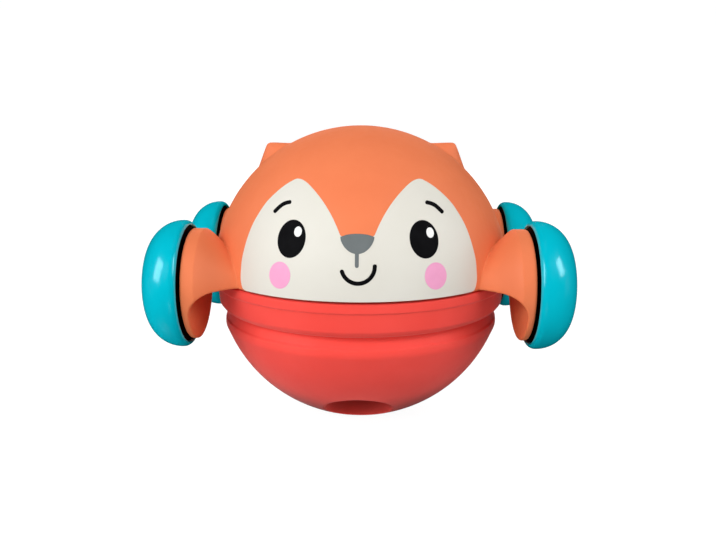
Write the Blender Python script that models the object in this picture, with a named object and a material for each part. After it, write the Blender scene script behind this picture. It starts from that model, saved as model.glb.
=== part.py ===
"""Rolling push toy: a fox-headed ball on four small wheels.

The orange half-ball head carries four short trumpet arms with a wheel on each.
A soft red bowl closes the underside, and the toy stands on the bowl's flat foot.
Pressed from above, the bowl folds up inside the head until the wheels touch.

Metres, +Z up. The origin is the centre of the foot, on the floor.
The face looks along -Y, and +X is to the right of someone facing it.
"""

import math

import bmesh
import bpy
from mathutils import Matrix, Vector

MM = 0.001

# ---- driving dimensions, in millimetres -------------------------------------

BALL_R = 45.0            # dome, outside
CENTRE_Z = 43.4          # height of the ball's centre above the floor
DOME_WALL = 2.4
RIM_Z = 1.5              # lower edge of the dome, above the ball's centre
GAP = 0.3                # clearance between pieces that touch

WHEEL_Y = 23.5           # half wheelbase
WHEEL_Z = 1.45           # wheel axis, above the ball's centre
WHEEL_R = 17.8
WHEEL_X = 50.0           # local origin of a wheel on its axis

DISC_R = 15.5            # bearing disc at the end of each arm
DISC_FACE_X = 46.3       # its outer face
DISC_T = 1.5
NECK_R = 7.0             # trumpet's narrow end, at the dome
NECK_X = 33.2            # where the trumpet starts to open
BELL_X = 43.0            # where it reaches the disc's radius
ARM_WALL = 1.8
ARCH_R = 6.5             # round corner between an arm's open underside and its disc
BEARING_R = 3.4          # boss around the axle, on the inner face of the disc
BEARING_X = 43.3

AXLE_R = 1.5
AXLE_BORE_R = 1.62
AXLE_IN_X = 41.2         # inner end
AXLE_OUT_X = 55.5        # outer end, inside the wheel

BOWL_R = 44.5            # round underside of the soft bowl
BOWL_WALL = 2.6
COLLAR_TOP = 5.7         # collar of the bowl inside the dome
VENT_ANGLE = 35.0        # vent hole, degrees forward of straight down
VENT_R = 9.8
VENT_COLLAR_R = 12.0     # thick edge around the vent, inside
VENT_COLLAR_IN = 38.5    # its inner end, from the ball's centre along the vent's axis

RING_TOP = 7.8           # clamp ring
RING_FLANGE_R = 41.2
SCREW_CIRCLE_R = 34.5
SCREW_COUNT = 4

EAR_ANGLE = 36.1         # ear tips, degrees from straight up
EAR_TILT = 33.5          # the way an ear points, degrees from straight up
EAR_Y = 5.0
EAR_TIP_R = 48.95        # ear tip, from the ball's centre
EAR_TALL = 5.4           # from its root inside the dome's wall

SEG_BALL = 48
SEG_WHEEL = 28
SEG_ARM = 28
SEG_SMALL = 10

# ---- helpers ----------------------------------------------------------------


def clear_scene():
    for ob in list(bpy.data.objects):
        bpy.data.objects.remove(ob, do_unlink=True)


def material(name, colour, roughness, metallic=0.0):
    mat = bpy.data.materials.new(name)
    mat.use_nodes = True
    bsdf = mat.node_tree.nodes["Principled BSDF"]
    bsdf.inputs["Base Color"].default_value = (*colour, 1.0)
    bsdf.inputs["Roughness"].default_value = roughness
    bsdf.inputs["Metallic"].default_value = metallic
    mat.diffuse_color = (*colour, 1.0)
    return mat


def finish_mesh(bm):
    """Weld coincident points, drop slivers and turn the faces outwards."""
    bmesh.ops.remove_doubles(bm, verts=bm.verts, dist=1e-6)
    bmesh.ops.dissolve_degenerate(bm, edges=bm.edges, dist=1e-7)
    bmesh.ops.recalc_face_normals(bm, faces=bm.faces)


def turned(profile, segments, axis="Z", closed=True, sweep=360.0, turn=0.0):
    """A turned solid. profile is [(radius, height), ...] in millimetres.

    A closed profile is a ring's section; an open one starts and ends on the axis.
    """
    bm = bmesh.new()
    ring = []
    for r, h in profile:
        if axis == "Z":
            co = Vector((r, 0.0, h))
        else:
            co = Vector((h, 0.0, r))
        ring.append(bm.verts.new(co * MM))
    edges = [bm.edges.new((a, b)) for a, b in zip(ring, ring[1:])]
    if closed:
        edges.append(bm.edges.new((ring[-1], ring[0])))
    way = Vector((0, 0, 1)) if axis == "Z" else Vector((1, 0, 0))
    full = abs(sweep - 360.0) < 1e-6
    if turn:
        bmesh.ops.rotate(bm, verts=bm.verts, cent=(0, 0, 0), matrix=Matrix.Rotation(math.radians(turn), 3, way))
    first = list(bm.edges)
    out = bmesh.ops.spin(
        bm,
        geom=list(bm.verts) + list(bm.edges),
        cent=(0, 0, 0),
        axis=way,
        angle=math.radians(sweep),
        steps=segments,
        use_merge=full,
        use_duplicate=False,
    )
    if not full:
        last = [e for e in out["geom_last"] if isinstance(e, bmesh.types.BMEdge)]
        bmesh.ops.edgeloop_fill(bm, edges=first)
        bmesh.ops.edgeloop_fill(bm, edges=last)
    finish_mesh(bm)
    return bm


def prism(outline, low, high):
    """An outline of (x, z) points, in millimetres, pulled along Y from low to high."""
    bm = bmesh.new()
    verts = [bm.verts.new(Vector((x, low, z)) * MM) for x, z in outline]
    face = bm.faces.new(verts)
    pulled = bmesh.ops.extrude_face_region(bm, geom=[face])
    top = [v for v in pulled["geom"] if isinstance(v, bmesh.types.BMVert)]
    bmesh.ops.translate(bm, verts=top, vec=Vector((0, (high - low) * MM, 0)))
    finish_mesh(bm)
    return bm


def move(bm, vec):
    bmesh.ops.translate(bm, verts=bm.verts, vec=Vector(vec) * MM)
    return bm


def flip(bm, sx, sy):
    """Mirror in X and Y as the signs say."""
    for v in bm.verts:
        v.co.x *= sx
        v.co.y *= sy
    bmesh.ops.recalc_face_normals(bm, faces=bm.faces)
    return bm


def add(name, bm, mat=None, at=(0, 0, 0), parent=None, sharp=35.0):
    mesh = bpy.data.meshes.new(name)
    bm.to_mesh(mesh)
    bm.free()
    ob = bpy.data.objects.new(name, mesh)
    bpy.context.scene.collection.objects.link(ob)
    ob.location = Vector(at) * MM
    if parent is not None:
        ob.parent = parent
    if mat is not None:
        mesh.materials.append(mat)
    mesh.shade_smooth()
    mesh.set_sharp_from_angle(angle=math.radians(sharp))
    return ob


def carve(target, steps):
    """Join or cut a list of (operation, solid) into the target, one after another."""
    tools = []
    for k, (operation, bm) in enumerate(steps):
        tool = add(f"tool_{target.name}_{k}", bm, at=(0, 0, 0))
        tool.location = target.location
        tool.parent = target.parent
        tool.hide_render = True
        tool.display_type = "WIRE"
        mod = target.modifiers.new(f"{operation.lower()}_{k}", "BOOLEAN")
        mod.operation = operation
        mod.solver = "EXACT"
        mod.object = tool
        tools.append(tool)
    bpy.context.view_layer.update()
    graph = bpy.context.evaluated_depsgraph_get()
    mesh = bpy.data.meshes.new_from_object(target.evaluated_get(graph))
    target.modifiers.clear()
    slots = [m for m in target.data.materials]
    bm = bmesh.new()
    bm.from_mesh(mesh)
    finish_mesh(bm)
    bmesh.ops.triangulate(bm, faces=[f for f in bm.faces if len(f.verts) > 4])
    bm.to_mesh(target.data)
    bm.free()
    bpy.data.meshes.remove(mesh)
    target.data.materials.clear()
    for m in slots:
        target.data.materials.append(m)
    for p in target.data.polygons:
        p.material_index = 0
    for tool in tools:
        bpy.data.objects.remove(tool, do_unlink=True)
    target.data.shade_smooth()
    target.data.set_sharp_from_angle(angle=math.radians(35.0))
    return target


def arc(cx, cy, r, a0, a1, n):
    """n + 1 points of a circle from angle a0 to a1, in degrees."""
    pts = []
    for k in range(n + 1):
        a = math.radians(a0 + (a1 - a0) * k / n)
        pts.append((cx + r * math.cos(a), cy + r * math.sin(a)))
    return pts


def ball(radius, segments, rings):
    bm = bmesh.new()
    bmesh.ops.create_uvsphere(bm, u_segments=segments, v_segments=rings, radius=radius * MM)
    return bm


# ---- head: dome, arms and ears in one moulding ------------------------------


def dome_section():
    """Section of the dome's wall, from its mouth up to the pole and back inside."""
    inner = BALL_R - DOME_WALL
    a_out = math.degrees(math.asin(RIM_Z / BALL_R))
    a_in = math.degrees(math.asin(RIM_Z / inner))
    outside = arc(0, 0, BALL_R, a_out, 90.0, 11)
    inside = arc(0, 0, inner, 90.0, a_in, 8)
    outside[-1] = (0.0, BALL_R)
    inside[0] = (0.0, inner)
    # the pole breaks the section: two open profiles share the mouth edge
    return outside[::-1] + inside[::-1]


def dome():
    """The dome as an open shell: the profile starts and ends on the axis."""
    return turned(dome_section(), SEG_BALL, closed=False)


def trumpet_radius(x):
    """Outside radius of an arm at a distance x from the ball's middle plane."""
    t = min(1.0, max(0.0, (x - NECK_X) / (BELL_X - NECK_X)))
    return NECK_R + (DISC_R - NECK_R) * t * t * (3.0 - 2.0 * t)


def trumpet_slope(x):
    return (trumpet_radius(x + 0.01) - trumpet_radius(x - 0.01)) / 0.02


def arm_outside():
    xs = [14.0] + [NECK_X + (BELL_X - NECK_X) * k / 7 for k in range(8)]
    pts = [(0.0, 14.0)] + [(trumpet_radius(x), x) for x in xs]
    pts += [(DISC_R, DISC_FACE_X - 0.4), (DISC_R - 0.35, DISC_FACE_X), (0.0, DISC_FACE_X)]
    return turned(pts, SEG_ARM, axis="X", closed=False)


def arm_inside():
    """The hollow of the trumpet: its outside, set in by the wall along the normal."""
    end = DISC_FACE_X - DISC_T
    pts = [(0.0, 12.0), (NECK_R - ARM_WALL, 12.0)]
    for k in range(7):
        x = NECK_X + (BELL_X - NECK_X) * k / 6
        s = trumpet_slope(x)
        n = math.hypot(1.0, s)
        pts.append((trumpet_radius(x) - ARM_WALL / n, x + ARM_WALL * s / n))
    pts += [(DISC_R - ARM_WALL, end), (0.0, end)]
    return turned(pts, SEG_ARM, axis="X", closed=False)


def arm_underside():
    """What is cut away below the mouth plane, with the round corner towards the disc."""
    end = DISC_FACE_X - DISC_T
    low = -30.0
    top = RIM_Z - WHEEL_Z
    corner = arc(end - ARCH_R, top - ARCH_R, ARCH_R, 90.0, 0.0, 6)
    outline = [(6.0, top)] + corner + [(end, low), (6.0, low)]
    return prism(outline, -26.0, 26.0)


def arm_solid(name):
    """One arm, about its own axle axis: a hollow half trumpet and a full disc."""
    ob = add(name, arm_outside())
    core = move(ball(BALL_R - 0.5 * DOME_WALL, 32, 16), (0, -WHEEL_Y, -WHEEL_Z))
    boss = turned(
        [(0.0, BEARING_X), (BEARING_R, BEARING_X), (BEARING_R, DISC_FACE_X - 0.6), (0.0, DISC_FACE_X - 0.6)],
        SEG_SMALL + 4, axis="X", closed=False,
    )
    hole = turned(
        [(0.0, BEARING_X - 2), (AXLE_BORE_R, BEARING_X - 2), (AXLE_BORE_R, DISC_FACE_X + 2), (0.0, DISC_FACE_X + 2)],
        SEG_SMALL + 4, axis="X", closed=False,
    )
    # room for the bowl's rim band below the mouth plane
    band = move(turned([(0.0, -40.0), (BALL_R, -40.0), (BALL_R, RIM_Z), (0.0, RIM_Z)], SEG_BALL, closed=False), (0, -WHEEL_Y, -WHEEL_Z))
    carve(ob, [
        ("DIFFERENCE", arm_inside()),
        ("DIFFERENCE", arm_underside()),
        ("DIFFERENCE", band),
        ("DIFFERENCE", core),
        ("UNION", boss),
        ("DIFFERENCE", hole),
    ])
    bm = bmesh.new()
    bm.from_mesh(ob.data)
    bpy.data.objects.remove(ob, do_unlink=True)
    return bm


def ear(side):
    """A low rounded wedge that stands on the dome."""
    a, tilt = math.radians(EAR_ANGLE), math.radians(EAR_TILT)
    peak = Vector((side * math.sin(a), 0.0, math.cos(a))) * EAR_TIP_R
    out = Vector((side * math.sin(tilt), 0.0, math.cos(tilt)))
    along = Vector((side * math.cos(tilt), 0.0, -math.sin(tilt)))
    back = Vector((0.0, 1.0, 0.0))
    bm = bmesh.new()
    # rings of an ellipse that shrinks from the root to the rounded tip
    rings = []
    for t in (0.0, 0.7, 0.88, 0.97):
        half_wide = 8.0 * (1.0 - t) + 1.5 * math.sqrt(max(0.0, 1.0 - t * t)) * t
        half_thick = 5.6 * (1.0 - t) + 1.5 * math.sqrt(max(0.0, 1.0 - t * t)) * t
        ring = []
        for k in range(12):
            w = 2.0 * math.pi * k / 12
            p = peak - out * (EAR_TALL * (1.0 - t)) + along * (half_wide * math.cos(w)) + back * (EAR_Y + half_thick * math.sin(w))
            ring.append(bm.verts.new(p * MM))
        rings.append(ring)
    for lo, hi in zip(rings, rings[1:]):
        for k in range(12):
            bm.faces.new((lo[k], lo[(k + 1) % 12], hi[(k + 1) % 12], hi[k]))
    tip = bm.verts.new((peak + back * EAR_Y) * MM)
    for k in range(12):
        bm.faces.new((rings[-1][k], rings[-1][(k + 1) % 12], tip))
    bm.faces.new(rings[0][::-1])
    finish_mesh(bm)
    return bm


def screw_places():
    for k in range(SCREW_COUNT):
        a = math.radians(45.0 + 360.0 * k / SCREW_COUNT)
        yield SCREW_CIRCLE_R * math.cos(a), SCREW_CIRCLE_R * math.sin(a)


def boss_solid(x, y):
    """A screw boss that hangs from the dome's inner wall."""
    low = RING_TOP + GAP
    ob = add("boss", move(turned([(0.0, low), (3.0, low), (3.2, 36.0), (0.0, 36.0)], SEG_SMALL, closed=False), (x, y, 0)))
    carve(ob, [("INTERSECT", ball(BALL_R - 0.5 * DOME_WALL, 32, 16))])
    bm = bmesh.new()
    bm.from_mesh(ob.data)
    bpy.data.objects.remove(ob, do_unlink=True)
    return bm


def head_shell(mat, root):
    ob = add("head_shell", dome(), mat)
    steps = []
    for sx in (1, -1):
        for sy in (1, -1):
            bm = arm_solid("arm")
            move(bm, (0, WHEEL_Y, WHEEL_Z))
            steps.append(("UNION", flip(bm, sx, sy)))
    steps += [("UNION", ear(1)), ("UNION", ear(-1))]
    for x, y in screw_places():
        steps.append(("UNION", boss_solid(x, y)))
    for x, y in screw_places():
        pilot = turned([(0.0, 4.0), (1.3, 4.0), (1.3, 17.0), (0.0, 17.6)], SEG_SMALL, closed=False)
        steps.append(("DIFFERENCE", move(pilot, (x, y, 0))))
    carve(ob, steps)
    ob.location = Vector((0, 0, CENTRE_Z)) * MM
    ob.parent = root
    return ob


# ---- soft bowl --------------------------------------------------------------


def bowl_section():
    """Section of the bowl's wall: down the outside, across the foot, up the inside."""
    foot = math.sqrt(BOWL_R ** 2 - CENTRE_Z ** 2)
    outside = [
        (41.8, COLLAR_TOP), (41.8, RIM_Z - GAP),
        (44.4, RIM_Z - GAP), (44.42, -1.6), (44.1, -2.05),
        (43.5, -6.7), (42.7, -8.05),
        (40.4, -8.95), (40.6, -9.9), (41.85, -12.2), (42.1, -13.6),
    ]
    start = math.degrees(math.asin(-15.3 / BOWL_R))
    end = math.degrees(math.asin(-CENTRE_Z / BOWL_R))
    outside += arc(0, 0, BOWL_R, start, end, 8)
    outside[-1] = (foot, -CENTRE_Z)
    inner = BOWL_R - BOWL_WALL
    inside = arc(0, 0, inner, -76.0, -21.0, 6)
    inside[0] = (math.cos(math.radians(76.0)) * inner, -inner * math.sin(math.radians(76.0)))
    inside += [(38.9, -12.2), (38.2, -9.6), (39.0, -7.4), (41.0, -5.0), (41.0, RIM_Z - 0.5), (39.7, RIM_Z - 0.5), (39.7, COLLAR_TOP)]
    return [(0.0, -CENTRE_Z)] + outside[::-1] + inside[::-1] + [(0.0, -inner * math.sin(math.radians(76.0)))]


def soft_base(mat, root):
    section = bowl_section()
    ob = add("soft_base", turned(section, SEG_BALL, closed=False), mat)
    a = math.radians(VENT_ANGLE)
    vent = turned([(0.0, 20.0), (VENT_R, 20.0), (VENT_R, 60.0), (0.0, 60.0)], 28, closed=False)
    collar = turned([(0.0, VENT_COLLAR_IN), (VENT_COLLAR_R, VENT_COLLAR_IN), (VENT_COLLAR_R, 41.2), (0.0, 41.2)], 28, closed=False)
    # the hole's axis runs forward and down from the ball's centre
    for bm in (vent, collar):
        bmesh.ops.rotate(bm, verts=bm.verts, cent=(0, 0, 0), matrix=Matrix.Rotation(math.pi - a, 3, "X"))
    carve(ob, [("UNION", collar), ("DIFFERENCE", vent)])
    ob.location = Vector((0, 0, CENTRE_Z)) * MM
    ob.parent = root
    return ob


# ---- clamp ring and screws --------------------------------------------------


def base_ring(mat, root):
    low = RING_TOP - 1.8
    section = [
        (30.5, RING_TOP), (30.5, low), (37.9, low), (37.9, -1.0), (40.5, -1.0), (40.5, 0.7),
        (39.4, 0.7), (39.4, low), (RING_FLANGE_R, low), (RING_FLANGE_R, RING_TOP),
    ]
    ob = add("base_ring", turned(section, SEG_BALL), mat)
    holes = []
    for x, y in screw_places():
        hole = turned([(0.0, low - 3), (1.5, low - 3), (1.5, RING_TOP + 3), (0.0, RING_TOP + 3)], SEG_SMALL, closed=False)
        holes.append(("DIFFERENCE", move(hole, (x, y, 0))))
    carve(ob, holes)
    ob.location = Vector((0, 0, CENTRE_Z)) * MM
    ob.parent = root
    return ob


def ring_screw(k, x, y, mat, root):
    """Pan-head screw, driven from below; its shank ends in a point in the boss."""
    head_top = RING_TOP - 1.8 - GAP
    section = [
        (0.0, head_top - 1.1), (0.75, head_top - 1.1), (0.75, head_top - 1.9), (1.7, head_top - 1.9),
        (2.5, head_top - 1.3), (2.6, head_top), (1.0, head_top), (1.0, 15.2), (0.0, 16.6),
    ]
    return add(f"ring_screw_{k}", turned(section, SEG_SMALL, closed=False), mat, at=(x, y, CENTRE_Z), parent=root)


# ---- wheels -----------------------------------------------------------------


def wheel_section():
    """Cup-shaped wheel: down the outside from the axis, then back inside it."""
    crest_x, face_x, face_r = 49.0, 58.4, 8.2
    outside = [(0.0, 57.6), (6.4, 57.6), (7.5, 58.25), (face_r, face_x)]
    n = 6
    for k in range(1, n + 1):
        a = math.pi / 2 * k / n
        outside.append((face_r + (WHEEL_R - face_r) * math.sin(a), crest_x + (face_x - crest_x) * math.cos(a)))
    outside += [(WHEEL_R - 0.15, 47.25), (WHEEL_R - 0.6, 46.75), (16.5, 46.75)]
    inside = [(16.5, 49.6), (15.2, 49.6), (14.2, 53.8), (11.0, 56.0), (4.2, 56.1), (4.2, 49.9), (1.8, 49.9), (1.8, 55.8), (0.0, 55.8)]
    return [(r, x - WHEEL_X) for r, x in outside + inside]


def hub_section():
    pts = [
        (1.8, 46.6), (4.0, 46.6), (4.0, 47.4), (15.9, 47.4), (16.2, 47.7),
        (16.2, 49.3), (1.8, 49.3),
    ]
    return [(r, x - WHEEL_X) for r, x in pts]


def axle_section():
    pts = [
        (0.0, AXLE_IN_X), (1.15, AXLE_IN_X), (AXLE_R, AXLE_IN_X + 0.35), (AXLE_R, 41.9), (1.1, 41.9), (1.1, 43.0),
        (AXLE_R, 43.0), (AXLE_R, AXLE_OUT_X - 0.35), (1.15, AXLE_OUT_X), (0.0, AXLE_OUT_X),
    ]
    return [(r, x - WHEEL_X) for r, x in pts]


def clip_section():
    pts = [(1.4, 42.2), (2.5, 42.2), (2.5, 42.7), (1.4, 42.7)]
    return [(r, x - WHEEL_X) for r, x in pts]


def wheel_set(where, side, end, mats, root):
    """Wheel, hub, pin and clip about one axle axis; side is +1 on the right, end +1 at the rear."""
    pivot = bpy.data.objects.new(f"axis_{where}", None)
    bpy.context.scene.collection.objects.link(pivot)
    pivot.location = Vector((side * WHEEL_X, end * WHEEL_Y, CENTRE_Z + WHEEL_Z)) * MM
    pivot.rotation_euler = (0.0, 0.0, 0.0 if side > 0 else math.pi)
    pivot.parent = root
    add(f"wheel_{where}", turned(wheel_section(), SEG_WHEEL, axis="X", closed=False), mats["wheel"], parent=pivot)
    add(f"wheel_hub_{where}", turned(hub_section(), SEG_WHEEL, axis="X"), mats["hub"], parent=pivot)
    add(f"axle_{where}", turned(axle_section(), SEG_SMALL, axis="X", closed=False), mats["steel"], parent=pivot)
    add(f"axle_clip_{where}", turned(clip_section(), SEG_SMALL, axis="X", sweep=290.0, turn=35.0), mats["steel"], parent=pivot)


# ---- the toy ----------------------------------------------------------------


def main():
    clear_scene()
    root = bpy.data.objects.new("rolling_toy", None)
    bpy.context.scene.collection.objects.link(root)
    mats = {
        "head": material("orange_plastic", (0.93, 0.27, 0.10), 0.5),
        "base": material("red_rubber", (0.90, 0.10, 0.08), 0.55),
        "ring": material("white_plastic", (0.75, 0.74, 0.70), 0.5),
        "wheel": material("turquoise_plastic", (0.01, 0.48, 0.60), 0.25),
        "hub": material("black_plastic", (0.02, 0.02, 0.022), 0.4),
        "steel": material("steel", (0.60, 0.61, 0.63), 0.3, 1.0),
    }
    head_shell(mats["head"], root)
    soft_base(mats["base"], root)
    base_ring(mats["ring"], root)
    for k, (x, y) in enumerate(screw_places(), 1):
        ring_screw(k, x, y, mats["steel"], root)
    for side, left_right in ((-1, "left"), (1, "right")):
        for end, front_rear in ((-1, "front"), (1, "rear")):
            wheel_set(f"{front_rear}_{left_right}", side, end, mats, root)
    bpy.context.view_layer.update()


main()
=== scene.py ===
import math

import bpy
import numpy as np
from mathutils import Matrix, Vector
from mathutils.geometry import delaunay_2d_cdt


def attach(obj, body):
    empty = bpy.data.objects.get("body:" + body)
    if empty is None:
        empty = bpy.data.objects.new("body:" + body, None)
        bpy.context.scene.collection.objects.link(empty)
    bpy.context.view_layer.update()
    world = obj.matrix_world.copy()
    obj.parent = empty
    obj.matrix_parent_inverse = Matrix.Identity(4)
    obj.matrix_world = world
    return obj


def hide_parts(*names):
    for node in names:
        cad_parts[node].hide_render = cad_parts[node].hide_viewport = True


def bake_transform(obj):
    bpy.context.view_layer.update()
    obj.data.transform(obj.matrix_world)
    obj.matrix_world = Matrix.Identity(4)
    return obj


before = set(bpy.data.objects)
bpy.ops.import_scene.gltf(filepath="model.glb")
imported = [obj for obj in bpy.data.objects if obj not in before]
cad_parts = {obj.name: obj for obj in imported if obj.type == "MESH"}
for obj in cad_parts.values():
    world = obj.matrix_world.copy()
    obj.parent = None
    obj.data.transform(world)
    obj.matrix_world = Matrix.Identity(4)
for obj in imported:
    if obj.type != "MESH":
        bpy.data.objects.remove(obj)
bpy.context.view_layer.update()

MM = 0.001

# ---- the toy's dimensions, millimetres from the ball's centre ----------------

CENTRE = np.array((0.0, 0.0, 43.4))
BALL_R = 45.0
DOME_WALL = 2.4
RIM_Z = 1.5

WHEEL_Y, WHEEL_Z = 23.5, 1.45
DISC_R, DISC_FACE_X, DISC_T = 15.5, 46.6, 1.8
DISC_IN_X = DISC_FACE_X - DISC_T
NECK_R, NECK_X, BELL_X = 7.0, 31.8, 42.9
ARM_WALL = 1.8
ARCH_R = 6.5
BEARING_R, BEARING_X = 3.4, 43.3
BORE_R = 1.62

EAR_TILT = math.radians(33.5)
EAR_X, EAR_Y, EAR_Z = 28.84, 5.0, 39.55

SCREW_AT = 34.5 / math.sqrt(2.0)

BOWL_R, BOWL_WALL = 44.25, 2.5
VENT_ANGLE, VENT_R = math.radians(35.0), 9.8
COLLAR_R, COLLAR_IN = 12.0, 38.5

# ---- meshes -------------------------------------------------------------------


def put(name, points, faces, mat, normals=None):
    """A mesh object from millimetre points about the ball's centre."""
    co = (np.asarray(points, float) + CENTRE) * MM
    mesh = bpy.data.meshes.new(name)
    mesh.from_pydata(co.tolist(), [], [list(map(int, f)) for f in faces])
    mesh.validate()
    mesh.update()
    mesh.shade_smooth()
    if normals is not None:
        mesh.normals_split_custom_set_from_vertices(np.asarray(normals, float).tolist())
    mesh.materials.append(mat)
    ob = bpy.data.objects.new(name, mesh)
    bpy.context.scene.collection.objects.link(ob)
    return ob


def rounded(corners, spacing=2.0):
    """An open section through corners (a, b, radius), with a fillet at each inner one.

    Gives the points and the unit normals on the left of the way they run.
    """
    pts = [np.array(c[:2], float) for c in corners]
    rad = [c[2] for c in corners]
    way = [(q - p) / np.linalg.norm(q - p) for p, q in zip(pts, pts[1:])]
    size = [np.linalg.norm(q - p) for p, q in zip(pts, pts[1:])]
    out, nrm = [], []

    def left(d):
        return np.array((-d[1], d[0]))

    def line(p, q, d):
        n = max(1, int(math.ceil(np.linalg.norm(q - p) / spacing)))
        for k in range(n + 1):
            s = p + (q - p) * k / n
            if not out or np.linalg.norm(s - out[-1]) > 1e-4:
                out.append(s)
                nrm.append(left(d))

    start = pts[0]
    for i in range(1, len(pts) - 1):
        d0, d1 = way[i - 1], way[i]
        turn = math.atan2(d0[0] * d1[1] - d0[1] * d1[0], float(np.dot(d0, d1)))
        r = rad[i]
        reach = r * math.tan(abs(turn) / 2)
        most = 0.49 * min(size[i - 1], size[i])
        if reach > most:
            r, reach = r * most / reach, most
        a, b = pts[i] - d0 * reach, pts[i] + d1 * reach
        line(start, a, d0)
        side = 1.0 if turn > 0 else -1.0
        mid = a + left(d0) * side * r
        steps = max(3, int(math.ceil(math.degrees(abs(turn)) / 11.0)))
        for k in range(1, steps + 1):
            w = turn * k / steps
            c, s = math.cos(w), math.sin(w)
            arm = a - mid
            p = mid + np.array((arm[0] * c - arm[1] * s, arm[0] * s + arm[1] * c))
            n0 = left(d0)
            out.append(p)
            nrm.append(np.array((n0[0] * c - n0[1] * s, n0[0] * s + n0[1] * c)))
        start = b
    line(start, pts[-1], way[-1])
    return np.array(out), np.array(nrm)


def arc_section(radius, low, high, step):
    """A circle's section about the ball's centre, latitudes in degrees."""
    n = max(2, int(math.ceil(abs(high - low) / step)))
    a = np.radians(np.linspace(low, high, n + 1))
    n_out = np.stack((np.cos(a), np.sin(a)), 1)
    return radius * n_out, n_out


def grid_faces(rows, cols, first=0):
    i = np.arange(rows - 1)[:, None]
    j = np.arange(cols)[None, :]
    k = (j + 1) % cols
    a = first + i * cols + j
    b = first + (i + 1) * cols + j
    c = first + (i + 1) * cols + k
    d = first + i * cols + k
    return np.stack((a, b, c, d), -1).reshape(-1, 4).tolist()


def turned(section, normals, segments, place):
    """Revolve a section (radius, height) with its normals; place maps (r, h, cos, sin) to x, y, z.

    A section end on the axis becomes a pole; otherwise the section is closed on itself.
    """
    w = 2 * math.pi * np.arange(segments) / segments
    c, s = np.cos(w), np.sin(w)
    pts, nrm, faces = [], [], []
    on_axis = [i for i in (0, len(section) - 1) if section[i][0] < 1e-6]
    body = [i for i in range(len(section)) if i not in on_axis]
    for i in body:
        r, h = section[i]
        nr, nh = normals[i]
        pts.append(np.stack(place(r * c, r * s, np.full(segments, h)), 1))
        nrm.append(np.stack(place(nr * c, nr * s, np.full(segments, nh), True), 1))
    rows = len(body)
    faces = grid_faces(rows, segments)
    pts, nrm = np.concatenate(pts), np.concatenate(nrm)
    if not on_axis:
        last = (rows - 1) * segments
        for j in range(segments):
            k = (j + 1) % segments
            faces.append([last + j, j, k, last + k])
    for i in on_axis:
        r, h = section[i]
        tip = len(pts)
        pts = np.vstack((pts, np.stack(place(np.zeros(1), np.zeros(1), np.array([h])), 1)))
        nrm = np.vstack((nrm, np.stack(place(np.zeros(1), np.zeros(1), np.array([math.copysign(1.0, normals[i][1])]), True), 1)))
        ring = 0 if i == 0 else (rows - 1) * segments
        for j in range(segments):
            k = (j + 1) % segments
            faces.append([tip, ring + j, ring + k] if i == 0 else [tip, ring + k, ring + j])
    return pts, faces, nrm


def about_z(u, v, h, direction=False):
    return u, v, h


# ---- smooth solids from distance fields ------------------------------------------


def soft_min(a, b, k):
    h = np.maximum(k - np.abs(a - b), 0.0) / k
    return np.minimum(a, b) - h * h * k * 0.25


def soft_max(a, b, k):
    return -soft_min(-a, -b, k)


def net(field, low, high, step):
    """Surface of field = 0 as quads: one point in each grid cell that it crosses."""
    axes = [np.arange(a, b + step, step) for a, b in zip(low, high)]
    size = [len(a) for a in axes]
    dist = np.empty(size, np.float32)
    for i in range(0, size[0], 12):
        x, y, z = np.meshgrid(axes[0][i:i + 12], axes[1], axes[2], indexing="ij")
        dist[i:i + 12] = field(x, y, z)
    # a gap narrower than a cell is closed, so that two walls never share an edge
    square = ((0, 0), (1, 0), (1, 1), (0, 1))
    for _ in range(8):
        inside = dist < 0
        shared = []
        for axis in range(3):
            u, v = (axis + 1) % 3, (axis + 2) % 3
            corner = []
            for du, dv in square:
                part = [slice(None)] * 3
                part[u], part[v] = slice(du, size[u] - 1 + du), slice(dv, size[v] - 1 + dv)
                corner.append(inside[tuple(part)])
            for at in np.argwhere((corner[0] == corner[2]) & (corner[1] == corner[3]) & (corner[0] != corner[1])):
                around = []
                for du, dv in square:
                    c = at.copy()
                    c[u] += du
                    c[v] += dv
                    around.append(tuple(c))
                shared.append(min((c for c in around if dist[c] >= 0), key=lambda c: float(dist[c])))
        if not shared:
            break
        for c in shared:
            dist[c] = -0.001
    inside = dist < 0
    cells = tuple(n - 1 for n in size)
    rings, spots = [], []
    for axis in range(3):
        a = [slice(None)] * 3
        b = [slice(None)] * 3
        a[axis], b[axis] = slice(0, -1), slice(1, None)
        at = np.argwhere(inside[tuple(a)] != inside[tuple(b)])
        nxt = at.copy()
        nxt[:, axis] += 1
        da, db = dist[tuple(at.T)].astype(float), dist[tuple(nxt.T)].astype(float)
        spot = at.astype(float)
        spot[:, axis] += da / (da - db)
        u, v = (axis + 1) % 3, (axis + 2) % 3
        ring = []
        for du, dv in ((0, 0), (-1, 0), (-1, -1), (0, -1)):
            c = at.copy()
            c[:, u] += du
            c[:, v] += dv
            ring.append(np.ravel_multi_index(c.T, cells))
        ring = np.stack(ring, 1)
        back = da >= 0
        ring[back] = ring[back][:, ::-1]
        rings.append(ring)
        spots.append(np.repeat(spot[:, None, :], 4, 1))
    rings = np.concatenate(rings)
    spots = np.concatenate(spots).reshape(-1, 3)
    ids, which = np.unique(rings, return_inverse=True)
    which = which.reshape(-1)
    count = np.bincount(which, minlength=len(ids)).astype(float)
    pts = np.stack([np.bincount(which, weights=spots[:, k], minlength=len(ids)) / count for k in range(3)], 1)
    return np.array(low) + step * pts, which.reshape(-1, 4)


def gradient(field, p, eps=0.02):
    g = np.empty_like(p)
    for k in range(3):
        a, b = p.copy(), p.copy()
        a[:, k] += eps
        b[:, k] -= eps
        g[:, k] = (field(*a.T) - field(*b.T)) / (2 * eps)
    return g


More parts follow.
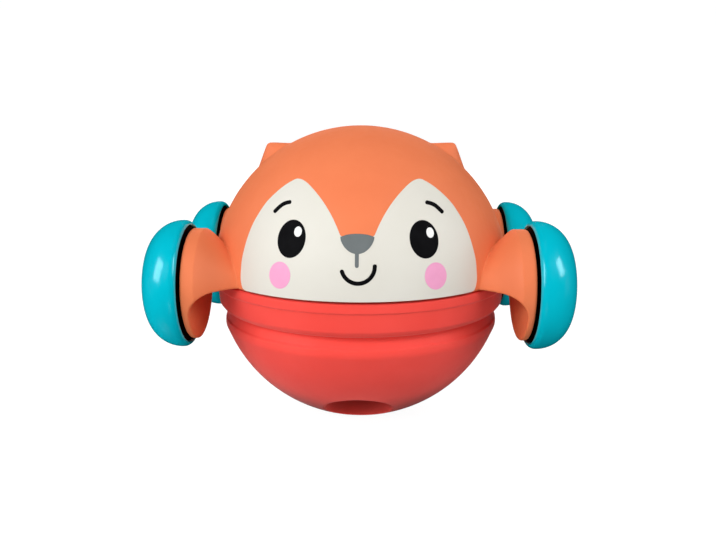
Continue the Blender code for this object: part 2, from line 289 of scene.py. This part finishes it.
def onto(field, p, times=3, most=0.5):
    """Move points along the gradient until they lie on the surface."""
    for _ in range(times):
        g = gradient(field, p)
        step = field(*p.T)[:, None] * g / np.maximum((g * g).sum(1), 0.05)[:, None]
        size = np.linalg.norm(step, axis=1, keepdims=True)
        p = p - step * np.minimum(1.0, most / np.maximum(size, 1e-9))
    return p


def even_out(field, p, quads, times):
    """Spread the points evenly over the surface."""
    e = np.concatenate([quads[:, [i, (i + 1) % 4]] for i in range(4)])
    count = np.bincount(e[:, 0], minlength=len(p)) + np.bincount(e[:, 1], minlength=len(p))
    for _ in range(times):
        mean = np.stack([
            (np.bincount(e[:, 0], weights=p[e[:, 1], k], minlength=len(p)) + np.bincount(e[:, 1], weights=p[e[:, 0], k], minlength=len(p))) / count
            for k in range(3)
        ], 1)
        p = onto(field, p + 0.5 * (mean - p), 1)
    return p


def thinned(points, quads, keep):
    """Fewer triangles where the surface is plain."""
    mesh = bpy.data.meshes.new("thin")
    mesh.from_pydata(points.tolist(), [], quads.tolist())
    ob = bpy.data.objects.new("thin", mesh)
    bpy.context.scene.collection.objects.link(ob)
    mod = ob.modifiers.new("thin", "DECIMATE")
    mod.ratio = keep
    bpy.context.view_layer.update()
    got = bpy.data.meshes.new_from_object(ob.evaluated_get(bpy.context.evaluated_depsgraph_get()))
    co = np.empty(len(got.vertices) * 3)
    got.vertices.foreach_get("co", co)
    faces = [list(f.vertices) for f in got.polygons]
    bpy.data.objects.remove(ob, do_unlink=True)
    bpy.data.meshes.remove(mesh)
    bpy.data.meshes.remove(got)
    return co.reshape(-1, 3), faces


# ---- finishes ---------------------------------------------------------------------


def finish(name, light, dark, rough, vary=0.05, grain=0.25, depth=0.012, blotch=14.0, metallic=0.0, coat=0.0, soft=0.0, spec=0.5, tint=None, haze=0.0, veil=(1.0, 1.0, 1.0), stretch=None):
    """Moulded plastic, rubber, ink or steel: two close tones in soft blotches, uneven gloss and a fine surface grain.

    grain and blotch are sizes in millimetres, depth is the grain's height in millimetres.
    """
    mat = bpy.data.materials.new(name)
    mat.use_nodes = True
    tree = mat.node_tree
    bsdf = tree.nodes["Principled BSDF"]
    bsdf.inputs["Metallic"].default_value = metallic
    bsdf.inputs["Specular IOR Level"].default_value = spec
    if tint:
        bsdf.inputs["Specular Tint"].default_value = (*tint, 1.0)
    if coat:
        bsdf.inputs["Coat Weight"].default_value = coat
        bsdf.inputs["Coat Roughness"].default_value = 0.08
    if haze:
        bsdf.inputs["Sheen Weight"].default_value = haze
        bsdf.inputs["Sheen Roughness"].default_value = 0.45
        bsdf.inputs["Sheen Tint"].default_value = (*veil, 1.0)
    if soft:
        bsdf.inputs["Subsurface Weight"].default_value = soft
        bsdf.inputs["Subsurface Radius"].default_value = (1.0, 0.3, 0.2)
        bsdf.inputs["Subsurface Scale"].default_value = 0.0015
    new, link = tree.nodes.new, tree.links.new
    place = new("ShaderNodeTexCoord")
    where = place.outputs["Object"]
    if stretch:
        squeeze = new("ShaderNodeMapping")
        squeeze.inputs["Scale"].default_value = stretch
        link(where, squeeze.inputs["Vector"])
        where = squeeze.outputs["Vector"]

    def noise(mm, detail, roughness=0.5):
        n = new("ShaderNodeTexNoise")
        n.inputs["Scale"].default_value = 1.0 / (mm * MM)
        n.inputs["Detail"].default_value = detail
        n.inputs["Roughness"].default_value = roughness
        link(where, n.inputs["Vector"])
        return n.outputs["Fac"]

    tone = new("ShaderNodeMix")
    tone.data_type = "RGBA"
    tone.inputs["A"].default_value = (*dark, 1.0)
    tone.inputs["B"].default_value = (*light, 1.0)
    spread = new("ShaderNodeMapRange")
    spread.inputs["From Min"].default_value = 0.3
    spread.inputs["From Max"].default_value = 0.7
    link(noise(blotch, 3.0), spread.inputs["Value"])
    link(spread.outputs["Result"], tone.inputs["Factor"])
    link(tone.outputs["Result"], bsdf.inputs["Base Color"])
    gloss = new("ShaderNodeMapRange")
    gloss.inputs["From Min"].default_value = 0.3
    gloss.inputs["From Max"].default_value = 0.7
    gloss.inputs["To Min"].default_value = rough - vary
    gloss.inputs["To Max"].default_value = rough + vary
    link(noise(2.2, 4.0, 0.6), gloss.inputs["Value"])
    link(gloss.outputs["Result"], bsdf.inputs["Roughness"])
    bump = new("ShaderNodeBump")
    bump.inputs["Strength"].default_value = 0.6
    bump.inputs["Distance"].default_value = depth * MM
    link(noise(grain, 2.0), bump.inputs["Height"])
    link(bump.outputs["Normal"], bsdf.inputs["Normal"])
    return mat


def linear(r, g, b):
    """Display colour 0-255 to linear."""
    out = []
    for v in (r, g, b):
        v = v / 255.0
        out.append(v / 12.92 if v <= 0.04045 else ((v + 0.055) / 1.055) ** 2.4)
    return tuple(out)


ORANGE = finish("orange_plastic", (0.824, 0.212, 0.085), (0.788, 0.194, 0.076), 0.56, 0.05, grain=0.35, depth=0.010, spec=0.28)
RED = finish("red_soft_rubber", (0.930, 0.079, 0.062), (0.895, 0.069, 0.053), 0.60, 0.05, grain=0.30, depth=0.010, soft=0.10, spec=0.20, haze=0.17)
TEAL = finish("turquoise_plastic", (0.0, 0.482, 0.602), (0.0, 0.449, 0.566), 0.16, 0.03, grain=0.6, depth=0.004, spec=0.55, tint=(0.7, 0.95, 1.0), haze=0.10, veil=(0.05, 0.9, 1.0))
BLACK = finish("black_plastic", linear(8, 8, 9), linear(4, 4, 5), 0.60, 0.06, spec=0.015)
WHITE = finish("white_plastic", linear(222, 219, 210), linear(214, 211, 203), 0.45, 0.05)
STEEL = finish("drawn_steel", (0.58, 0.58, 0.59), (0.48, 0.48, 0.50), 0.30, 0.08, grain=0.12, depth=0.004, blotch=3.0, metallic=1.0, stretch=(0.15, 1.0, 1.0))
PATCH = finish("cream_ink", (0.705, 0.686, 0.622), (0.680, 0.658, 0.590), 0.55, 0.04, grain=0.35, depth=0.006, spec=0.28)
INK = finish("black_ink", linear(15, 15, 17), linear(10, 10, 12), 0.60, 0.04, grain=0.35, depth=0.006, blotch=3.0, spec=0.03)
GREY = finish("grey_ink", linear(110, 116, 117), linear(104, 110, 111), 0.55, 0.04, grain=0.35, depth=0.006, blotch=4.0, spec=0.15)
PINK = finish("pink_ink", linear(238, 162, 200), linear(233, 156, 194), 0.55, 0.04, grain=0.35, depth=0.006, blotch=4.0, spec=0.2)
GLINT = finish("white_ink", linear(240, 240, 238), linear(235, 235, 233), 0.55, 0.04, grain=0.35, depth=0.006, blotch=4.0, spec=0.2)

# ---- head: dome, ears and arms in one moulding ---------------------------------------


def head_field(x, y, z):
    ax, ay = np.abs(x), np.abs(y)
    r = np.sqrt(x * x + y * y + z * z)

    t = np.clip((ax - NECK_X) / (BELL_X - NECK_X), 0.0, 1.0)
    rise = DISC_R - NECK_R
    slope = rise / (BELL_X - NECK_X) * (3.6 * t * (1.0 - t) + 0.8 * t) * (t < 1.0)
    from_axle = np.hypot(ay - WHEEL_Y, z - WHEEL_Z)
    horn = (from_axle - NECK_R - rise * t * t * (2.2 - 1.2 * t)) / np.sqrt(1.0 + slope * slope)

    body = soft_min(r - BALL_R, soft_max(horn, ax - DISC_FACE_X, 0.8), 0.35)

    up = (ax - EAR_X) * math.sin(EAR_TILT) + (z - EAR_Z) * math.cos(EAR_TILT)
    along = (ax - EAR_X) * math.cos(EAR_TILT) - (z - EAR_Z) * math.sin(EAR_TILT)
    tip = 0.42
    spread = (np.abs(along / 1.38) ** 2.2 + np.abs((y - EAR_Y) / 0.84) ** 2.2) ** (2.0 / 2.2)
    ear = (np.sqrt(spread + tip * tip) - tip + up) / 1.35
    ear = np.maximum(ear, np.sqrt((ax - EAR_X) ** 2 + (y - EAR_Y) ** 2 + (z - EAR_Z) ** 2) - 14.0)
    body = soft_min(body, ear, 0.8)

    # open underside: the mouth plane, the round corners down to the discs, room for the bowl's rim
    qx, qz = ax - (DISC_IN_X - ARCH_R), z - (RIM_Z - ARCH_R)
    corner = np.hypot(np.maximum(qx, 0.0), np.maximum(qz, 0.0)) - ARCH_R + np.minimum(np.maximum(qx, qz), 0.0)
    band = np.maximum(np.hypot(x, y) - BALL_R - 0.15, z - RIM_Z)
    body = soft_max(body, -np.minimum(corner, band), 0.55)

    # hollow dome and hollow arms
    body = soft_max(body, BALL_R - DOME_WALL - r, 0.5)
    pocket = soft_max(soft_max(horn + ARM_WALL, ax - DISC_IN_X, 1.2), BALL_R - r, 1.0)
    body = soft_max(body, -pocket, 0.4)

    # bearing bosses
    boss = soft_max(soft_max(from_axle - BEARING_R, BEARING_X - ax, 0.5), ax - DISC_FACE_X + 0.3, 0.3)
    body = soft_min(body, boss, 0.7)
    body = soft_max(body, np.minimum(BORE_R - from_axle, ax - 38.0), 0.25)

    # screw bosses inside
    post = np.hypot(ax - SCREW_AT, ay - SCREW_AT)
    post_body = soft_max(soft_max(post - 3.1, 8.1 - z, 0.5), r - BALL_R + 1.2, 0.3)
    body = soft_min(body, post_body, 0.8)
    pilot = np.maximum(post - 1.3, z - 17.2)
    body = np.where(r < BALL_R - 1.3, soft_max(body, -pilot, 0.2), body)
    return body


def make_head():
    step = 0.46
    p, q = net(head_field, (-47.5, -46.5, -15.5), (47.5, 46.5, 51.0), step)
    p = onto(head_field, p, 2)
    p = even_out(head_field, p, q, 4)
    p, f = thinned(p, q, 0.43)
    p = onto(head_field, p, 2)
    n = gradient(head_field, p)
    n /= np.maximum(np.linalg.norm(n, axis=1, keepdims=True), 1e-9)
    ob = put("head_moulding", p, f, ORANGE, n)
    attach(ob, "head")
    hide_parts("head_shell")
    return ob


make_head()

# ---- printed face --------------------------------------------------------------------


def curve(points, closed=False, per=10):
    """A smooth curve through the points."""
    p = np.array(points, float)
    n = len(p)
    out = []
    for i in range(n if closed else n - 1):
        def at(k):
            return p[k % n] if closed else p[min(max(k, 0), n - 1)]
        a, b, c, d = at(i - 1), at(i), at(i + 1), at(i + 2)
        for k in range(per):
            t = k / per
            out.append(0.5 * (2 * b + (c - a) * t + (2 * a - 5 * b + 4 * c - d) * t * t + (3 * b - a - 3 * c + d) * t ** 3))
    if not closed:
        out.append(p[-1])
    return np.array(out)


def ellipse(x, z, half_x, half_z, lean=0.0, n=72):
    """lean turns the top towards +x, in degrees."""
    w = 2 * math.pi * np.arange(n) / n
    a, b = half_x * np.cos(w), half_z * np.sin(w)
    c, s = math.cos(math.radians(lean)), math.sin(math.radians(lean))
    return np.stack((x + a * c + b * s, z - a * s + b * c), 1)


def stroke(points, width, per=10):
    """Outline of a pen line with round ends."""
    c = curve(points, per=per)
    d = np.gradient(c, axis=0)
    d /= np.linalg.norm(d, axis=1, keepdims=True)
    side = np.stack((-d[:, 1], d[:, 0]), 1) * width / 2

    def cap(at, out):
        a0 = math.atan2(out[1], out[0])
        w = a0 + np.radians(np.linspace(75, -75, 11))
        return at + width / 2 * np.stack((np.cos(w), np.sin(w)), 1)

    return np.concatenate((c + side, cap(c[-1], d[-1]), (c - side)[::-1], cap(c[0], -d[0])))


PRINT_AT = (0.09, 0.16)


def print_on(name, outline, mat, lift, sink, grid=0.9):
    """Ink on the dome: the outline, seen from the front, as a thin skin on the ball."""
    outline = np.asarray(outline, float) + np.array(PRINT_AT)
    low, high = outline.min(0), outline.max(0)
    inner = []
    row = 0
    z = low[1]
    while z <= high[1]:
        x = low[0] + (0.5 * grid if row % 2 else 0.0)
        while x <= high[0]:
            inner.append((x, z))
            x += grid
        z += grid * 0.866
        row += 1
    inner = np.array(inner)
    # keep grid points well inside the outline
    a, b = outline, np.roll(outline, -1, 0)
    odd = np.zeros(len(inner), bool)
    near = np.full(len(inner), 1e9)
    for p, q in zip(a, b):
        hit = (p[1] > inner[:, 1]) != (q[1] > inner[:, 1])
        with np.errstate(divide="ignore", invalid="ignore"):
            cut = p[0] + (inner[:, 1] - p[1]) * (q[0] - p[0]) / (q[1] - p[1])
        odd ^= hit & (inner[:, 0] < cut)
        d = q - p
        t = np.clip(((inner - p) @ d) / max(float(d @ d), 1e-12), 0, 1)
        near = np.minimum(near, np.hypot(*(inner - p - t[:, None] * d).T))
    inner = inner[odd & (near > 0.4 * grid)]
    flat = np.concatenate((outline, inner))
    n = len(outline)
    got = delaunay_2d_cdt([Vector(p) for p in flat], [(i, (i + 1) % n) for i in range(n)], [], 1, 1e-7)
    flat = np.array([tuple(v) for v in got[0]])
    tris = [list(f) for f in got[2]]

    def skin(radius):
        x, zz = flat[:, 0] * radius / BALL_R, flat[:, 1] * radius / BALL_R
        return np.stack((x, -np.sqrt(np.maximum(radius ** 2 - x * x - zz * zz, 0.0)), zz), 1)

    top, under = skin(BALL_R + lift), skin(BALL_R + sink)
    m = len(flat)
    faces, edge = [], {}
    for t in tris:
        p, q, s = (top[i] for i in t)
        if np.dot(np.cross(q - p, s - p), p) < 0:
            t = t[::-1]
        faces.append(t)
        faces.append([i + m for i in t[::-1]])
        for i in range(3):
            edge[(t[i], t[(i + 1) % 3])] = True
    for i, j in list(edge):
        if (j, i) not in edge:
            faces.append([j, i, i + m, j + m])
    nrm = np.concatenate((top, top))
    nrm = nrm / np.linalg.norm(nrm, axis=1, keepdims=True)
    ob = put(name, np.concatenate((top, under)), faces, mat, nrm)
    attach(ob, "head")
    return ob


def mirrored(points):
    return [(-x, z) for x, z in points]


PATCH_SIDE = [
    (30.9, 1.80), (31.45, 2.8), (31.74, 4.6), (31.62, 6.9), (31.41, 9.4), (30.75, 12.3), (29.75, 15.6), (28.5, 18.75),
    (26.95, 21.55), (24.85, 24.6), (22.5, 27.02), (20.0, 29.07), (17.8, 30.44), (16.18, 31.06), (14.25, 30.6), (12.05, 29.0),
    (9.3, 26.2), (6.95, 23.0), (5.35, 20.1), (4.35, 17.9),
]


def make_face():
    right = curve([(30.0, 1.56)] + PATCH_SIDE, per=6)
    base = np.stack((np.linspace(-29.6, 29.6, 60), np.full(60, 1.54)), 1)
    left = right[::-1] * np.array((-1.0, 1.0))
    under_nose = np.array([(2.0, 16.6), (0.0, 16.3), (-2.0, 16.6)])
    print_on("face_patch", np.concatenate((right, under_nose, left, base)), PATCH, 0.05, -0.06, grid=1.1)

    for side, name in ((-1, "left"), (1, "right")):
        print_on(f"eye_{name}", ellipse(side * 16.98, 16.46, 3.66, 4.79, -side * 18.6), INK, 0.09, 0.02)
        print_on(f"cheek_{name}", ellipse(side * 20.05, 7.2, 2.87, 3.45, -side * 12.0), PINK, 0.09, 0.02)
        brow = [(side * 21.95, 22.80), (side * 20.32, 24.29), (side * 19.12, 24.95), (side * 17.91, 25.30)]
        print_on(f"brow_{name}", stroke(brow, 0.95), INK, 0.09, 0.02, grid=0.5)
    print_on("glint_left", ellipse(-15.25, 18.33, 0.99, 1.27, 17.0, n=48), GLINT, 0.13, 0.06, grid=0.6)
    print_on("glint_right", ellipse(18.55, 17.99, 0.95, 1.30, -20.0, n=48), GLINT, 0.13, 0.06, grid=0.6)

    nose_top = curve([(-4.22, 17.5), (-2.3, 18.08), (0.0, 18.25), (2.3, 18.08), (4.22, 17.5)])
    nose_low = curve([(4.22, 17.5), (4.0, 16.46), (3.1, 15.01), (1.7, 13.91), (0.0, 13.49), (-1.7, 13.91), (-3.1, 15.01), (-4.0, 16.46), (-4.22, 17.5)])
    print_on("nose", np.concatenate((nose_top[:-1], nose_low[:-1])) * 1.018 - np.array((0.0, 0.29)), GREY, 0.09, 0.02, grid=0.8)
    print_on("nose_line", stroke([(-0.07, 13.9), (-0.07, 12.0), (-0.07, 10.6)], 1.0), GREY, 0.085, 0.02, grid=0.6)
    turn = np.radians(np.linspace(-162.0, 0.0, 15))
    smile = np.stack((0.21 + 4.22 * np.cos(turn), 10.45 + 4.22 * np.sin(turn)), 1)
    print_on("smile", stroke(smile, 1.05), INK, 0.09, 0.02, grid=0.6)


make_face()

# ---- soft bowl -------------------------------------------------------------------------

TURNS = 256


def make_bowl():
    outer_top, outer_n = rounded([
        (40.75, 5.7, 0.0), (41.8, 5.7, 0.5), (41.8, 0.95, 0.3), (44.4, 0.9, 0.5), (44.42, -1.55, 0.4), (44.05, -2.05, 0.4),
        (43.6, -6.95, 0.9), (42.65, -8.2, 0.5), (40.4, -9.05, 0.5), (40.85, -9.95, 0.8), (41.5, -11.75, 0.5), (41.95, -12.2, 0.5),
        (42.15, -14.03, 4.0), (40.85, -17.0, 0.0),
    ], 1.2)
    inner_top, inner_n = rounded([
        (39.3, -14.6, 0.0), (38.9, -12.2, 2.0), (38.2, -9.6, 1.0), (39.0, -7.4, 1.0), (41.0, -5.0, 1.0), (41.0, 1.0, 0.4),
        (39.7, 1.0, 0.3), (39.7, 5.7, 0.5), (40.75, 5.7, 0.0),
    ], 1.5)
    w = 2 * math.pi * np.arange(TURNS) / TURNS
    c, s = np.cos(w), np.sin(w)
    pts = []

    def ring(r, z):
        pts.append(np.stack((r * c, r * s, np.full(TURNS, z)), 1))

    for r, z in outer_top:
        ring(r, z)

    # the round bottom, in rings that change from level circles to the rim of the vent
    down = np.array((0.0, -math.sin(VENT_ANGLE), -math.cos(VENT_ANGLE)))
    across = np.array((1.0, 0.0, 0.0))
    ahead = np.array((0.0, math.cos(VENT_ANGLE), -math.sin(VENT_ANGLE)))

    def vent_ring(r, along):
        return along * down + r * (c[:, None] * across + s[:, None] * ahead)

    def cap(radius, foot, first, last, rings):
        a = first / np.linalg.norm(first, axis=1, keepdims=True)
        b = last / np.linalg.norm(last, axis=1, keepdims=True)
        angle = np.arccos(np.clip((a * b).sum(1), -1, 1))[:, None]
        out = []
        for k in range(1, rings + 1):
            t = k / rings
            d = (np.sin((1 - t) * angle) * a + np.sin(t * angle) * b) / np.sin(angle)
            p = d * radius
            p[:, 2] = soft_max(p[:, 2], np.full(TURNS, foot), 0.25)
            out.append(p)
        return out

    edge = 0.4
    lip_s = math.sqrt(BOWL_R ** 2 - (VENT_R + edge) ** 2)
    level = np.stack((40.85 * c, 40.85 * s, np.full(TURNS, -17.0)), 1)
    pts += cap(BOWL_R, -CENTRE[2], level, vent_ring(VENT_R + edge, lip_s), 64)
    inner_r = BOWL_R - BOWL_WALL
    foot_r = COLLAR_R + 1.2
    for r, along in rounded([
        (VENT_R + edge, lip_s, 0.0), (VENT_R, lip_s - 0.06, edge), (VENT_R, COLLAR_IN, 0.5), (COLLAR_R, COLLAR_IN, 0.6),
        (COLLAR_R, math.sqrt(inner_r ** 2 - COLLAR_R ** 2), 1.2), (foot_r, math.sqrt(inner_r ** 2 - foot_r ** 2), 0.0),
    ], 0.8)[0][1:]:
        pts.append(vent_ring(r, along))
    level_in = np.stack((inner_top[0][0] * c, inner_top[0][0] * s, np.full(TURNS, inner_top[0][1])), 1)
    rim_in = pts[-1]
    back = cap(np.hypot(*inner_top[0]), -CENTRE[2] + BOWL_WALL + 0.14, level_in, rim_in, 32)
    pts += back[:-1][::-1]
    for r, z in inner_top[:-1]:
        ring(r, z)
    rows = len(pts)
    faces = grid_faces(rows, TURNS)
    last = (rows - 1) * TURNS
    for j in range(TURNS):
        k = (j + 1) % TURNS
        faces.append([last + j, j, k, last + k])
    ob = put("soft_bowl", np.concatenate(pts), faces, RED)
    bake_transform(ob)
    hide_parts("soft_base")
    return ob


make_bowl()

# ---- wheels ----------------------------------------------------------------------------


def make_wheels():
    crest_x, face_x, face_r, wheel_r = 49.1, 58.3, 8.2, 17.8
    bulge, bulge_n = [], []
    for k in range(29):
        a = math.pi / 2 * k / 28
        bulge.append((face_r + (wheel_r - face_r) * math.sin(a), crest_x + (face_x - crest_x) * math.cos(a)))
        n = np.array(((face_x - crest_x) * math.sin(a), (wheel_r - face_r) * math.cos(a)))
        bulge_n.append(n / np.linalg.norm(n))
    dish, dish_n = rounded([(0.0, 57.5, 0), (6.6, 57.5, 0.7), (7.4, 58.3, 0.7), (face_r, face_x, 0)], 1.5)
    # the rim's edge rolls in to a sharp inner corner
    roll, roll_n = [], []
    for k in range(1, 15):
        a = math.pi / 2 * k / 14
        roll.append((16.5 + 1.3 * math.cos(a), 48.9 - 1.7 * math.sin(a)))
        n = np.array((1.7 * math.cos(a), -1.3 * math.sin(a)))
        roll_n.append(n / np.linalg.norm(n))
    lip, lip_n = rounded([(16.5, 47.2, 0), (16.5, 49.6, 0.3), (15.2, 49.6, 0.4), (14.2, 53.8, 2.0), (11.0, 56.0, 1.5), (4.2, 56.1, 0.5), (4.2, 49.9, 0.3), (1.8, 49.9, 0.2), (1.8, 55.8, 0.2), (0.0, 55.8, 0)], 2.0)
    tyre = np.concatenate((dish[:-1], bulge, [(wheel_r, 48.9)], roll, lip[1:]))
    tyre_n = np.concatenate((dish_n[:-1], bulge_n, [(1.0, 0.0)], roll_n, lip_n[1:]))
    hub, hub_n = rounded([
        (1.8, 48.0, 0), (1.8, 46.75, 0.15), (4.0, 46.75, 0.3), (4.0, 47.4, 0.3), (16.2, 47.4, 0.35), (16.2, 49.3, 0.3), (1.8, 49.3, 0.15), (1.8, 48.1, 0),
    ][::-1], 2.0)
    pin, pin_n = rounded([
        (0.0, 55.5, 0), (1.5, 55.5, 0.35), (1.5, 43.0, 0.05), (1.1, 43.0, 0.05), (1.1, 41.9, 0.05), (1.5, 41.9, 0.05), (1.5, 41.2, 0.35), (0.0, 41.2, 0),
    ], 3.0)

    for side, left_right in ((-1, "left"), (1, "right")):
        for end, front_rear in ((-1, "front"), (1, "rear")):
            where = f"{front_rear}_{left_right}"

            def place(u, v, h, direction=False):
                if direction:
                    return side * h, side * u, v
                return side * h, side * u + end * WHEEL_Y, v + WHEEL_Z

            for name, section, normals, count, mat, node, slot in (
                ("tyre", tyre, tyre_n, 160, TEAL, "wheel", "wheel_turquoise"),
                ("hub", hub, hub_n, 128, BLACK, "wheel_hub", "hub_black"),
                ("pin", pin, pin_n, 40, STEEL, "axle", "steel"),
            ):
                p, f, n = turned(section, normals, count, place)
                ob = put(f"{name}_{where}", p, f, mat, n)
                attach(ob, f"wheel_set_{where}")
                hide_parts(f"{node}_{where}")

            # spring clip: an open ring with round section
            p, f = [], []
            turns, around = 48, 12
            for i in range(turns + 1):
                w = math.radians(125.0 + 290.0 * i / turns)
                for k in range(around):
                    q = 2 * math.pi * k / around
                    r = 1.95 + 0.55 * math.cos(q)
                    h = 42.45 + 0.25 * math.sin(q)
                    x, y, z = place(r * math.cos(w), r * math.sin(w), h)
                    p.append((x, y, z))
            for i in range(turns):
                for k in range(around):
                    m = (k + 1) % around
                    f.append([i * around + k, (i + 1) * around + k, (i + 1) * around + m, i * around + m])
            f.append([k for k in range(around)])
            f.append([turns * around + k for k in range(around)][::-1])
            ob = put(f"clip_{where}", p, f, STEEL)
            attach(ob, f"wheel_set_{where}")
            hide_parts(f"axle_clip_{where}")


make_wheels()

# ---- CAD pieces that stay ---------------------------------------------------------------

for node, mat in [("base_ring", WHITE)] + [(f"ring_screw_{k}", STEEL) for k in range(1, 5)]:
    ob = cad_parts[node]
    ob.data.materials.clear()
    ob.data.materials.append(mat)

# ---- floor, light and camera --------------------------------------------------------------


def stage_material(name, colour, glow):
    mat = bpy.data.materials.new(name)
    mat.use_nodes = True
    bsdf = mat.node_tree.nodes["Principled BSDF"]
    bsdf.inputs["Base Color"].default_value = (*colour, 1.0)
    bsdf.inputs["Roughness"].default_value = 0.9
    bsdf.inputs["Specular IOR Level"].default_value = 0.0
    bsdf.inputs["Emission Color"].default_value = (1.0, 1.0, 1.0, 1.0)
    bsdf.inputs["Emission Strength"].default_value = glow
    return mat


def make_stage():
    # a round sweep: flat floor that curves up into a wall and closes overhead
    section = [(0.0, 0.0), (0.9, 0.0)]
    for k in range(1, 25):
        a = math.pi / 2 * k / 24
        section.append((0.9 + 0.9 * math.sin(a), 0.9 - 0.9 * math.cos(a)))
    for k in range(1, 25):
        a = math.pi / 2 * k / 24
        section.append((1.8 * math.cos(a), 0.9 + 0.9 * math.sin(a)))
    n = 96
    verts, faces = [(0.0, 0.0, 0.0)], []
    for r, z in section[1:-1]:
        for j in range(n):
            w = 2 * math.pi * j / n
            verts.append((r * math.cos(w), r * math.sin(w), z))
    rows = len(section) - 2
    for j in range(n):
        faces.append([0, 1 + j, 1 + (j + 1) % n])
    for i in range(rows - 1):
        for j in range(n):
            k = (j + 1) % n
            faces.append([1 + i * n + j, 1 + (i + 1) * n + j, 1 + (i + 1) * n + k, 1 + i * n + k])
    top = len(verts)
    verts.append((0.0, 0.0, 1.8))
    for j in range(n):
        faces.append([top, 1 + (rows - 1) * n + (j + 1) % n, 1 + (rows - 1) * n + j])
    mesh = bpy.data.meshes.new("studio_sweep")
    mesh.from_pydata(verts, [], faces)
    mesh.shade_smooth()
    mesh.materials.append(stage_material("sweep_white", (0.14, 0.14, 0.14), 0.96))
    sweep = bpy.data.objects.new("studio_sweep", mesh)
    bpy.context.scene.collection.objects.link(sweep)
    sweep.visible_diffuse = sweep.visible_glossy = sweep.visible_transmission = sweep.visible_shadow = False

    # a small card just under the floor, which keeps the light from below off the toy's foot
    verts = [(0.051 * math.cos(2 * math.pi * j / 64), 0.051 * math.sin(2 * math.pi * j / 64), -0.001) for j in range(64)]
    mesh = bpy.data.meshes.new("foot_shade")
    mesh.from_pydata(verts, [], [list(range(64))])
    mesh.materials.append(stage_material("shade_grey", (0.08, 0.08, 0.08), 0.0))
    shade = bpy.data.objects.new("foot_shade", mesh)
    bpy.context.scene.collection.objects.link(shade)
    shade.visible_camera = shade.visible_glossy = False

    # two pale cards that shine up: below the vent for its inside, and beside the front left wheel for its lower half
    for name, x, y, r, glow in (("vent_card", 0.0, -0.027, 0.008, 0.7), ("wheel_card", -0.078, -0.042, 0.016, 2.0)):
        verts = [(x + r * math.cos(2 * math.pi * j / 48), y + r * math.sin(2 * math.pi * j / 48), -0.0008) for j in range(48)]
        mesh = bpy.data.meshes.new(name)
        mesh.from_pydata(verts, [], [list(range(48))])
        mesh.materials.append(stage_material(f"{name}_white", (0.8, 0.8, 0.8), glow))
        card = bpy.data.objects.new(name, mesh)
        bpy.context.scene.collection.objects.link(card)
        card.visible_camera = card.visible_glossy = False


def area(name, at, towards, wide, tall, watts, colour=(1.0, 1.0, 1.0)):
    light = bpy.data.lights.new(name, "AREA")
    light.shape = "RECTANGLE"
    light.size, light.size_y = wide, tall
    light.energy = watts
    light.color = colour
    ob = bpy.data.objects.new(name, light)
    ob.location = at
    ob.rotation_euler = (Vector(towards) - Vector(at)).to_track_quat("-Z", "Y").to_euler()
    ob.visible_camera = False
    bpy.context.scene.collection.objects.link(ob)
    return ob


def make_light():
    # turn and rise in degrees, seen from the toy: 0, 0 is straight ahead of the face
    middle = Vector((0.0, 0.0, 0.045))
    for name, turn, rise, away, wide, tall, watts, mirrored, lights in (
        ("softbox_left", -42, 31, 1.0, 0.80, 0.45, 7.0, False, True),
        ("softbox_right", 50, 40, 1.0, 0.70, 0.45, 4.0, False, True),
        ("front_low", -4, -30, 1.0, 0.50, 0.35, 3.1, False, True),
        ("side_left", -80, 3, 1.0, 0.35, 0.50, 1.8, False, True),
        ("side_right", 80, 6, 1.0, 0.35, 0.45, 1.9, False, True),
        ("top", 0, 84, 1.0, 0.50, 0.50, 1.2, False, True),
        ("rear", 180, 22, 1.0, 0.70, 0.50, 8.0, False, True),
        ("strip_left", -57, 24, 1.0, 0.42, 0.56, 4.9, True, False),
        ("strip_right", 64, 30, 1.0, 0.32, 0.42, 3.3, True, False),
    ):
        a, e = math.radians(turn), math.radians(rise)
        at = middle + away * Vector((math.sin(a) * math.cos(e), -math.cos(a) * math.cos(e), math.sin(e)))
        ob = area(name, at, middle, wide, tall, watts)
        ob.visible_glossy = mirrored
        ob.visible_diffuse = lights
    world = bpy.data.worlds.new("studio")
    world.use_nodes = True
    back = world.node_tree.nodes["Background"]
    back.inputs["Color"].default_value = (1.0, 1.0, 1.0, 1.0)
    back.inputs["Strength"].default_value = 0.18
    bpy.context.scene.world = world
    world.cycles_visibility.glossy = False


def make_camera():
    ball = Vector(CENTRE * MM)
    up, turn, away = math.radians(12.09), math.radians(1.26), 0.22095
    at = ball + away * Vector((math.sin(turn) * math.cos(up), -math.cos(turn) * math.cos(up), math.sin(up)))
    data = bpy.data.cameras.new("camera")
    data.sensor_fit = "HORIZONTAL"
    data.sensor_width = 36.0
    data.lens = 35.346
    data.clip_start = 0.01
    cam = bpy.data.objects.new("camera", data)
    look = (ball - at).normalized()
    right = look.cross(Vector((0, 0, 1))).normalized()
    head_up = right.cross(look)
    aim = ball - 0.00081 * right + 0.00045 * head_up
    cam.location = at
    cam.rotation_euler = (aim - at).to_track_quat("-Z", "Y").to_euler()
    bpy.context.scene.collection.objects.link(cam)
    bpy.context.scene.camera = cam


make_stage()
make_light()
make_camera()
bpy.context.scene.view_settings.view_transform = "Standard"
bpy.context.scene.view_settings.look = "None"
